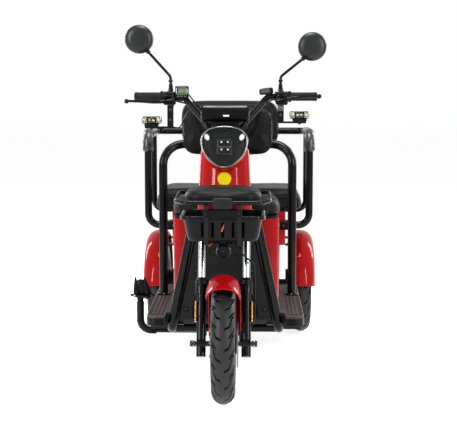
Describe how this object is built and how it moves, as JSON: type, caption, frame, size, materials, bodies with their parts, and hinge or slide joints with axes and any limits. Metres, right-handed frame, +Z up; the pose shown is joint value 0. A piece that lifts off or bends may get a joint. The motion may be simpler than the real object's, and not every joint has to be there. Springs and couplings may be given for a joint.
{
  "type": "electric passenger tricycle scooter",
  "caption": "Electric tricycle scooter with raked telescopic fork, front basket, driver saddle, passenger bench with armrests, steering handlebar, rolling wheels and lifting seats.",
  "frame": {"origin": "on the ground, at the middle of the bounding box in length and width", "axes": "+Z up, the vehicle faces -Y, +X is to the rider's left"},
  "size_m": [0.73, 1.658, 1.2809],
  "materials": {
    "red_paint": "gloss",
    "black_paint": "gloss",
    "black_plastic": "satin",
    "grey_plastic": "satin",
    "deck_plastic": "textured",
    "gloss_black": "gloss",
    "leatherette": "satin",
    "foam_rubber": "matte",
    "rubber": "matte",
    "tyre": "matte",
    "rim_metal": "satin",
    "chrome": "polished",
    "steel": "brushed",
    "dark_metal": "satin",
    "clear_lens": "gloss",
    "red_lens": "gloss",
    "amber_lens": "gloss",
    "mirror_glass": "polished"
  },
  "bodies": {
    "chassis": {"head_tube": "black_paint", "frame_rails": "black_paint", "frame_cross_members": "black_paint", "front_cowl": "red_paint", "knee_panel": "black_plastic", "headlight_rim": "chrome", "headlight_lens": "clear_lens", "headlight_bucket": "gloss_black", "front_basket": "black_plastic", "front_carrier": "black_paint", "carrier_cushion": "leatherette", "horn": "black_plastic", "leg_shield": "grey_plastic", "centre_floors": "deck_plastic", "footboards": "deck_plastic", "brake_pedal": "rubber", "seat_box": "red_paint", "battery_pack": "black_plastic", "rear_box": "red_paint", "driver_hoop": "black_paint", "driver_backrest": "leatherette", "armrest_frame": "black_paint", "armrest_sleeves": "foam_rubber", "bench_backrest": "leatherette", "rear_fenders": "red_paint", "tail_lamps": "red_lens", "rear_axle": "dark_metal", "rear_shocks": "steel"},
    "steering": {"fork_crown": "black_paint", "fork_stanchions": "chrome", "fork_legs": "black_paint", "front_axle": "steel", "fork_reflectors": "amber_lens", "front_mudguard": "red_paint", "brake_caliper": "dark_metal", "handlebar": "black_paint", "handlebar_clamp": "black_paint", "grips": "rubber", "brake_levers": "black_paint", "control_pods": "black_plastic", "throttle_display": "black_plastic", "dash_panel": "gloss_black", "mirrors": "black_plastic", "mirror_glasses": "mirror_glass", "turn_signal_brackets": "black_paint", "turn_signals": "clear_lens", "control_cables": "rubber"},
    "front_wheel": {"front_tyre": "tyre", "front_rim": "rim_metal", "brake_disc": "steel"},
    "rear_left_wheel": {"rear_left_tyre": "tyre", "rear_left_rim": "rim_metal"},
    "rear_right_wheel": {"rear_right_tyre": "tyre", "rear_right_rim": "rim_metal"},
    "driver_seat": {"driver_seat_base": "black_plastic", "driver_saddle": "leatherette"},
    "bench_seat": {"bench_base": "black_plastic", "bench_cushion": "leatherette"}
  },
  "joints": [
    {"name": "steering_turn", "type": "hinge", "parent": "chassis", "child": "steering", "pos_m": [0, -0.43652, 0.64348], "axis": [0, 0.342, 0.9397], "range_deg": [-40, 40]},
    {"name": "front_wheel_spin", "type": "hinge", "parent": "steering", "child": "front_wheel", "pos_m": [0, -0.627, 0.202], "axis": [1, 0, 0], "continuous": true},
    {"name": "rear_left_wheel_spin", "type": "hinge", "parent": "chassis", "child": "rear_left_wheel", "pos_m": [0.31, 0.573, 0.202], "axis": [1, 0, 0], "continuous": true},
    {"name": "rear_right_wheel_spin", "type": "hinge", "parent": "chassis", "child": "rear_right_wheel", "pos_m": [-0.31, 0.573, 0.202], "axis": [1, 0, 0], "continuous": true},
    {"name": "driver_seat_lift", "type": "hinge", "parent": "chassis", "child": "driver_seat", "pos_m": [0, -0.241, 0.572], "axis": [1, 0, 0], "range_deg": [0, 50]},
    {"name": "bench_lift", "type": "hinge", "parent": "chassis", "child": "bench_seat", "pos_m": [0, 0.309, 0.54], "axis": [1, 0, 0], "range_deg": [0, 70]}
  ]
}
